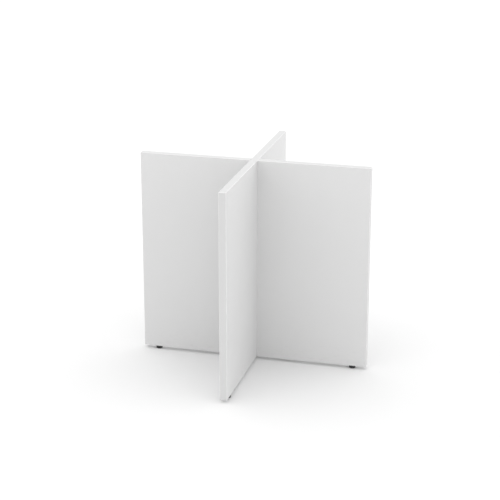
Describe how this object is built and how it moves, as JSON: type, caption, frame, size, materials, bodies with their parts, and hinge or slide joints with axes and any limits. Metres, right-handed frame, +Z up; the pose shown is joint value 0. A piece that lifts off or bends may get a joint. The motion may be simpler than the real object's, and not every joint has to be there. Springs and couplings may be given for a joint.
{
  "type": "cross-shaped partition",
  "caption": "Free-standing, desk-height partition in the shape of a cross: white banded boards on black levelling feet.",
  "frame": {"origin": "on the floor, under the centre of the crossing", "axes": "+Z up; +Y along the through panel towards its back end, the side that the cam covers face; +X along the right wing"},
  "size_m": [0.8, 0.8, 0.72],
  "materials": {
    "board": "satin",
    "edge_band": "satin",
    "white_plastic": "satin",
    "black_plastic": "satin",
    "zinc_steel": "satin",
    "cast_zinc": "satin",
    "beech": "matte"
  },
  "bodies": {
    "cross": {"through_panel": "board", "wing_left": "board", "wing_right": "board", "through_top_band": "edge_band", "through_bottom_band": "edge_band", "through_front_band": "edge_band", "through_back_band": "edge_band", "left_top_band": "edge_band", "left_bottom_band": "edge_band", "left_end_band": "edge_band", "right_top_band": "edge_band", "right_bottom_band": "edge_band", "right_end_band": "edge_band", "cam_bolts": "zinc_steel", "cam_housings": "cast_zinc", "cam_caps": "white_plastic", "dowels": "beech", "insert_nuts": "zinc_steel"},
    "glide_body_front": {"glide_front": "black_plastic"},
    "screw_body_front": {"ring_front": "black_plastic", "screw_front": "zinc_steel"},
    "glide_body_back": {"glide_back": "black_plastic"},
    "screw_body_back": {"ring_back": "black_plastic", "screw_back": "zinc_steel"},
    "glide_body_left": {"glide_left": "black_plastic"},
    "screw_body_left": {"ring_left": "black_plastic", "screw_left": "zinc_steel"},
    "glide_body_right": {"glide_right": "black_plastic"},
    "screw_body_right": {"ring_right": "black_plastic", "screw_right": "zinc_steel"}
  },
  "joints": [
    {"name": "foot_slide_front", "type": "slide", "parent": "cross", "child": "glide_body_front", "axis": [0, 0, -1], "range_m": [0, 0.01]},
    {"name": "foot_turn_front", "type": "hinge", "parent": "glide_body_front", "child": "screw_body_front", "pos_m": [0, -0.35, 0], "axis": [0, 0, -1], "range_deg": [0, 2880]},
    {"name": "foot_slide_back", "type": "slide", "parent": "cross", "child": "glide_body_back", "axis": [0, 0, -1], "range_m": [0, 0.01]},
    {"name": "foot_turn_back", "type": "hinge", "parent": "glide_body_back", "child": "screw_body_back", "pos_m": [0, 0.35, 0], "axis": [0, 0, -1], "range_deg": [0, 2880]},
    {"name": "foot_slide_left", "type": "slide", "parent": "cross", "child": "glide_body_left", "axis": [0, 0, -1], "range_m": [0, 0.01]},
    {"name": "foot_turn_left", "type": "hinge", "parent": "glide_body_left", "child": "screw_body_left", "pos_m": [-0.35, 0, 0], "axis": [0, 0, -1], "range_deg": [0, 2880]},
    {"name": "foot_slide_right", "type": "slide", "parent": "cross", "child": "glide_body_right", "axis": [0, 0, -1], "range_m": [0, 0.01]},
    {"name": "foot_turn_right", "type": "hinge", "parent": "glide_body_right", "child": "screw_body_right", "pos_m": [0.35, 0, 0], "axis": [0, 0, -1], "range_deg": [0, 2880]}
  ],
  "couplings": [
    {"joint": "foot_turn_front", "follows": "foot_slide_front", "rad_per_m": 5026.5},
    {"joint": "foot_turn_back", "follows": "foot_slide_back", "rad_per_m": 5026.5},
    {"joint": "foot_turn_left", "follows": "foot_slide_left", "rad_per_m": 5026.5},
    {"joint": "foot_turn_right", "follows": "foot_slide_right", "rad_per_m": 5026.5}
  ]
}
